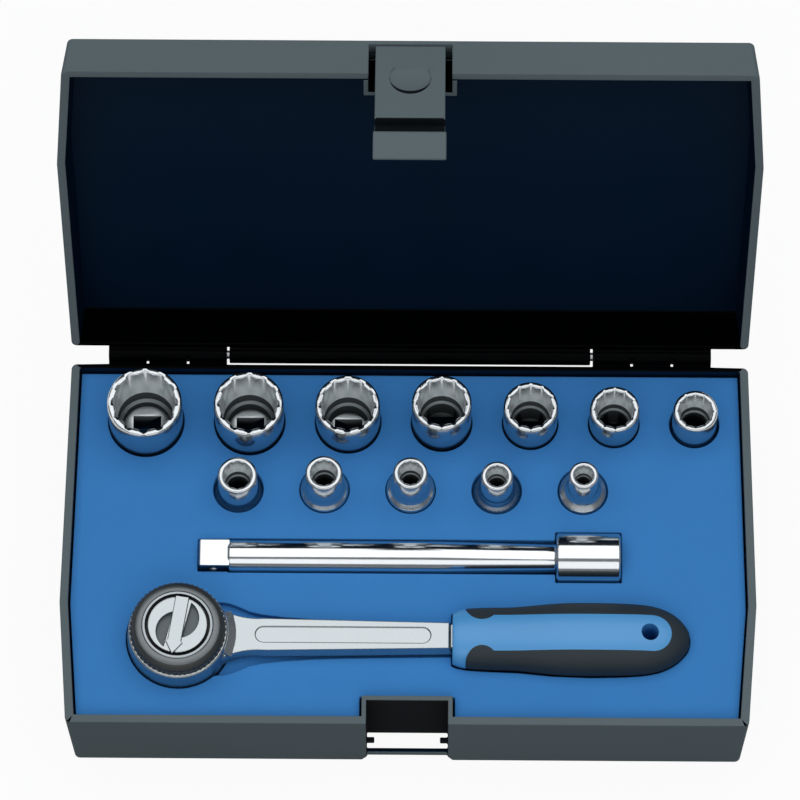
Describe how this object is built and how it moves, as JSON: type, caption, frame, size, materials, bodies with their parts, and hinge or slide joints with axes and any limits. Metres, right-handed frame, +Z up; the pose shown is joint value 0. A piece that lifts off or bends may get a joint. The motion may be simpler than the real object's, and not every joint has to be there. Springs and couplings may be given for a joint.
{
  "type": "socket wrench set in case",
  "caption": "Quarter-inch drive socket set: reversible ratchet, extension bar and twelve-point sockets in a foam insert, in a hinged case with a snap latch.",
  "frame": {"origin": "centre of the case base's underside", "axes": "+X along the case's length, +Y to the back where the hinge is, +Z up"},
  "size_m": [0.159, 0.1343, 0.1188],
  "materials": {
    "case_plastic": "satin moulded",
    "foam": "matte closed-cell foam",
    "bright_chrome": "polished",
    "satin_chrome": "satin chrome plated",
    "plain_steel": "plain",
    "blue_plastic": "satin moulded",
    "black_rubber": "soft matte",
    "black_plastic": "matte"
  },
  "bodies": {
    "case_base": {"base_shell": "case_plastic", "hinge_pin": "plain_steel", "foam_insert": "foam"},
    "lid": {"lid_shell": "case_plastic", "latch_pin": "case_plastic"},
    "latch": {"latch": "case_plastic"},
    "extension": {"extension_bar": "bright_chrome", "extension_ball_spring": "plain_steel"},
    "extension_detent": {"extension_ball": "plain_steel"},
    "ratchet": {"ratchet_body": "satin_chrome", "retaining_ring": "plain_steel", "grip_core": "blue_plastic", "grip_sides": "black_rubber"},
    "drive": {"drive_spindle": "bright_chrome", "thumb_ring": "black_plastic", "pawl_pin": "plain_steel", "drive_ball_spring": "plain_steel"},
    "dial": {"reversing_dial": "satin_chrome", "pawl_plunger": "plain_steel", "pawl_spring": "plain_steel"},
    "pawl": {"pawl": "plain_steel"},
    "drive_detent": {"drive_ball": "plain_steel"},
    "socket_13": {"socket_13mm": "satin_chrome"},
    "socket_12": {"socket_12mm": "satin_chrome"},
    "socket_11": {"socket_11mm": "satin_chrome"},
    "socket_10": {"socket_10mm": "satin_chrome"},
    "socket_9": {"socket_9mm": "satin_chrome"},
    "socket_8": {"socket_8mm": "satin_chrome"},
    "socket_7": {"socket_7mm": "satin_chrome"},
    "socket_6": {"socket_6mm": "satin_chrome"},
    "socket_5_5": {"socket_5_5mm": "satin_chrome"},
    "socket_5": {"socket_5mm": "satin_chrome"},
    "socket_4_5": {"socket_4_5mm": "satin_chrome"},
    "socket_4": {"socket_4mm": "satin_chrome"}
  },
  "joints": [
    {"name": "lid_hinge", "type": "hinge", "parent": "case_base", "child": "lid", "pos_m": [0, 0.04625, 0.0289], "axis": [-1, 0, 0], "range_deg": [-112, 0]},
    {"name": "latch_press", "type": "hinge", "parent": "lid", "child": "latch", "pos_m": [0, 0.08667, 0.10731], "axis": [1, 0, 0], "range_deg": [0, 3.2], "stiffness_Nm_per_rad": 0.2, "springref_deg": -2.86},
    {"name": "socket_13_lift", "type": "slide", "parent": "case_base", "child": "socket_13", "axis": [0, 0, 1], "range_m": [0, 0.03]},
    {"name": "socket_12_lift", "type": "slide", "parent": "case_base", "child": "socket_12", "axis": [0, 0, 1], "range_m": [0, 0.03]},
    {"name": "socket_11_lift", "type": "slide", "parent": "case_base", "child": "socket_11", "axis": [0, 0, 1], "range_m": [0, 0.03]},
    {"name": "socket_10_lift", "type": "slide", "parent": "case_base", "child": "socket_10", "axis": [0, 0, 1], "range_m": [0, 0.03]},
    {"name": "socket_9_lift", "type": "slide", "parent": "case_base", "child": "socket_9", "axis": [0, 0, 1], "range_m": [0, 0.03]},
    {"name": "socket_8_lift", "type": "slide", "parent": "case_base", "child": "socket_8", "axis": [0, 0, 1], "range_m": [0, 0.03]},
    {"name": "socket_7_lift", "type": "slide", "parent": "case_base", "child": "socket_7", "axis": [0, 0, 1], "range_m": [0, 0.03]},
    {"name": "socket_6_lift", "type": "slide", "parent": "case_base", "child": "socket_6", "axis": [0, 0, 1], "range_m": [0, 0.03]},
    {"name": "socket_5_5_lift", "type": "slide", "parent": "case_base", "child": "socket_5_5", "axis": [0, 0, 1], "range_m": [0, 0.03]},
    {"name": "socket_5_lift", "type": "slide", "parent": "case_base", "child": "socket_5", "axis": [0, 0, 1], "range_m": [0, 0.03]},
    {"name": "socket_4_5_lift", "type": "slide", "parent": "case_base", "child": "socket_4_5", "axis": [0, 0, 1], "range_m": [0, 0.03]},
    {"name": "socket_4_lift", "type": "slide", "parent": "case_base", "child": "socket_4", "axis": [0, 0, 1], "range_m": [0, 0.03]},
    {"name": "extension_lift", "type": "slide", "parent": "case_base", "child": "extension", "axis": [0, 0, 1], "range_m": [0, 0.03]},
    {"name": "extension_ball_press", "type": "slide", "parent": "extension", "child": "extension_detent", "axis": [0, 1, 0], "range_m": [0, 0.0005], "stiffness_N_per_m": 300, "springref_m": -0.0004, "deforming": ["extension_ball_spring"]},
    {"name": "ratchet_lift", "type": "slide", "parent": "case_base", "child": "ratchet", "axis": [0, 0, 1], "range_m": [0, 0.04]},
    {"name": "drive_spin", "type": "hinge", "parent": "ratchet", "child": "drive", "pos_m": [-0.0522, -0.0226, 0.0204], "axis": [0, 0, 1], "continuous": true},
    {"name": "dial_turn", "type": "hinge", "parent": "drive", "child": "dial", "pos_m": [-0.0522, -0.0226, 0.0319], "axis": [0, 0, -1], "range_deg": [0, 60]},
    {"name": "pawl_rock", "type": "hinge", "parent": "drive", "child": "pawl", "pos_m": [-0.0462, -0.0226, 0.0228], "axis": [0, 0, 1], "range_deg": [0, 8.8]},
    {"name": "drive_ball_press", "type": "slide", "parent": "drive", "child": "drive_detent", "axis": [0, 1, 0], "range_m": [0, 0.0005], "stiffness_N_per_m": 300, "springref_m": -0.0004, "deforming": ["drive_ball_spring"]}
  ],
  "couplings": [
    {"joint": "pawl_rock", "follows": "dial_turn", "ratio": 0.14666}
  ]
}
